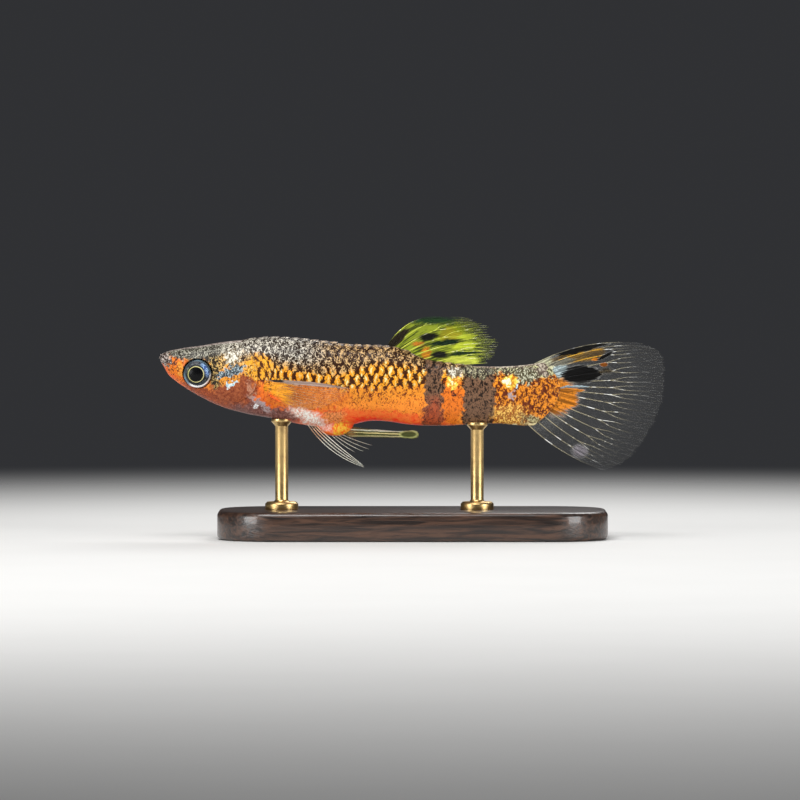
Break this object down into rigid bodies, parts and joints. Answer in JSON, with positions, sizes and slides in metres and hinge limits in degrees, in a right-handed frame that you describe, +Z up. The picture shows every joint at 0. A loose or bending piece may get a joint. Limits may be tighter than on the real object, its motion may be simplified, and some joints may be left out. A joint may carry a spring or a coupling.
{
  "type": "guppy",
  "caption": "Male guppy with a fanned tail and a swept-back dorsal fin, as a still, life-size model on a flat base with short rods.",
  "frame": {"origin": "middle of the flat underside of the stand's base, below the middle of the fish", "axes": "+Z up, the head points to -X and the tail fin to +X, the left flank faces -Y"},
  "size_m": [0.0351, 0.012, 0.0155],
  "materials": {
    "skin": "wet scaly skin, grey-brown back, orange belly, iridescent spots",
    "eye": "clear and glossy, black pupil in a gold ring",
    "dorsal_fin": "thin and see-through, yellow-green with black marks",
    "clear_fin": "thin and see-through, whitish rays",
    "stand_base": "dark, satin varnish",
    "stand_rod": "satin"
  },
  "bodies": {
    "root": {"head": "skin", "torso": "skin", "tail": "skin", "eye_left": "eye", "eye_right": "eye", "dorsal_fin": "dorsal_fin", "caudal_fin": "clear_fin", "pectoral_fin_left": "clear_fin", "pectoral_fin_right": "clear_fin", "pelvic_fin_left": "clear_fin", "pelvic_fin_right": "clear_fin", "gonopodium": "clear_fin", "stand_base": "stand_base", "stand_rod_front": "stand_rod", "stand_rod_rear": "stand_rod"}
  },
  "joints": []
}
